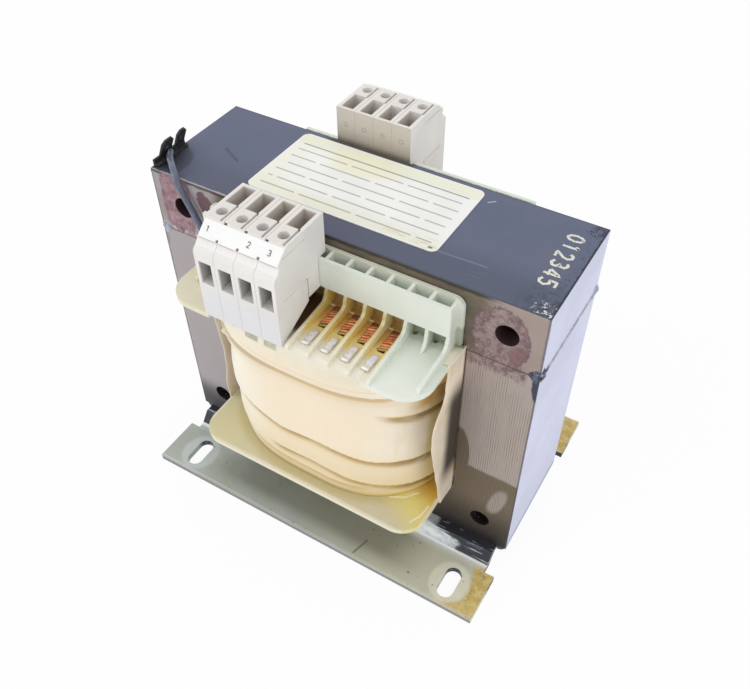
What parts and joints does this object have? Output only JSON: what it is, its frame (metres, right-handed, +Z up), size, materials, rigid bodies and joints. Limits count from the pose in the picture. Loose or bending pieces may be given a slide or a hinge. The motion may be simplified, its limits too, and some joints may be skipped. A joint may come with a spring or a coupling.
{
  "type": "control transformer",
  "caption": "Open-frame control transformer: welded laminated core on slotted sheet-steel feet, taped coil on a moulded former, clip-on terminals and an earth tab.",
  "frame": {"origin": "on the floor, at the middle of the pattern of fixing slots, under the centre of the core", "axes": "+X along the core's width, from the earth tab's end to the other; +Y from the numbered front terminals to the back; +Z up from the feet"},
  "size_m": [0.1522, 0.1106, 0.1443],
  "materials": {
    "lamination_stack": "dark varnish over stacked sheet edges",
    "weld_metal": "rough weld bead",
    "plated_steel": "zinc plated, dull",
    "moulded_nylon": "natural nylon, amber varnish in places",
    "copper_wire": "enamelled copper",
    "cotton_tape": "varnished cloth tape",
    "pressboard": "varnished pressboard",
    "terminal_plastic": "light grey, satin",
    "marker_plastic": "white, matt",
    "clamp_metal": "plated",
    "tinned_copper": "tinned",
    "label_film": "satin film",
    "dark_steel": "dark, satin",
    "lead_insulation": "grey-blue PVC"
  },
  "bodies": {
    "root": {"core_e_stack": "lamination_stack", "core_i_yoke": "lamination_stack", "weld_right": "weld_metal", "weld_left": "weld_metal", "foot_front": "plated_steel", "foot_rear": "plated_steel", "foot_welds_front": "weld_metal", "foot_welds_rear": "weld_metal", "former_tube": "moulded_nylon", "former_lower_flange": "moulded_nylon", "former_upper_flange": "moulded_nylon", "carrier_front": "moulded_nylon", "carrier_rear": "moulded_nylon", "copper_winding": "copper_wire", "coil_wrap": "cotton_tape", "insulation_right": "pressboard", "insulation_left": "pressboard", "front_terminal_1": "terminal_plastic", "front_terminal_2": "terminal_plastic", "front_terminal_3": "terminal_plastic", "front_terminal_4": "terminal_plastic", "rear_terminal_1": "terminal_plastic", "rear_terminal_2": "terminal_plastic", "rear_terminal_3": "terminal_plastic", "rear_terminal_4": "terminal_plastic", "marker_strip_front": "marker_plastic", "marker_strip_rear": "marker_plastic", "terminal_screws_front": "clamp_metal", "terminal_screws_rear": "clamp_metal", "terminal_clamps_front": "clamp_metal", "terminal_clamps_rear": "clamp_metal", "coil_lugs_front": "tinned_copper", "coil_lugs_rear": "tinned_copper", "lead_cover_front": "cotton_tape", "lead_cover_rear": "cotton_tape", "rating_label": "label_film", "earth_tab": "dark_steel", "earth_lead": "lead_insulation"}
  },
  "joints": []
}
